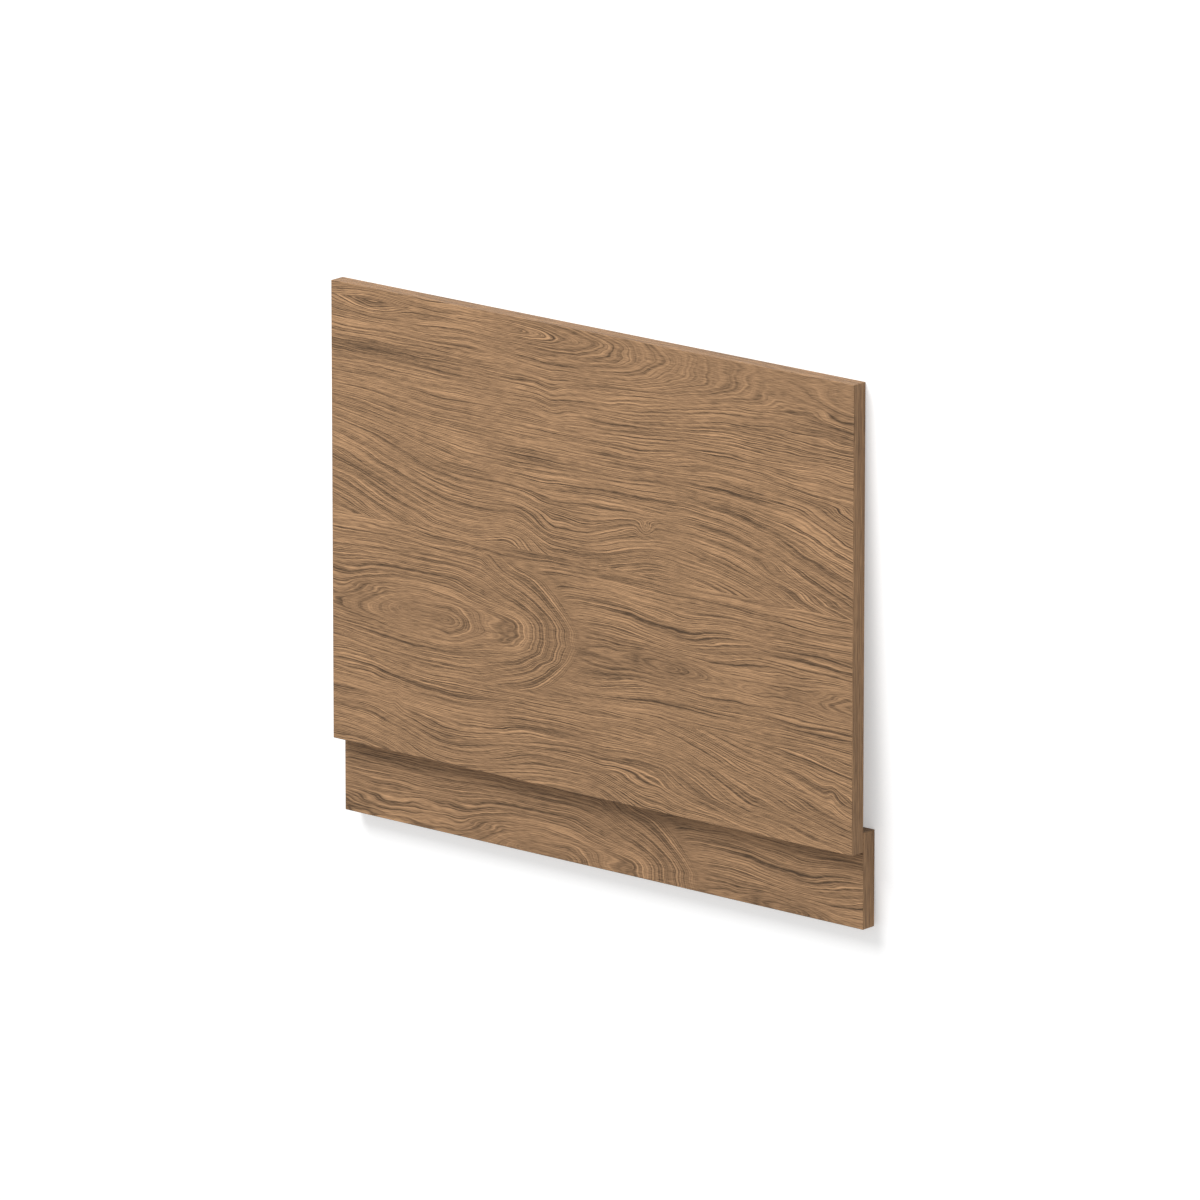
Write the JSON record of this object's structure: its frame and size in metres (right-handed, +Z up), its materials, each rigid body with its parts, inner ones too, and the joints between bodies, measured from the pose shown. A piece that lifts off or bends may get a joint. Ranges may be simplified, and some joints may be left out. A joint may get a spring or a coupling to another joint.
{
  "type": "bath end panel",
  "caption": "Oak-effect bath end panel lying face up: a wide plain board with a narrow plinth board lapped behind its lower edge.",
  "frame": {"origin": "on the floor, under the centre of the pair of boards as they lie face up", "axes": "+X along the panel's width, +Y towards the edge that goes under the bath's rim, +Z up, out of the decorative face but for the 2.24 degree lean of its rest"},
  "size_m": [0.68, 0.561, 0.0367],
  "materials": {
    "panel": "matt mid-brown oak-effect facing, grain along the width",
    "plinth": "matt mid-brown oak-effect facing, grain along the width"
  },
  "bodies": {
    "root": {"panel": "panel", "plinth": "plinth"}
  },
  "joints": []
}
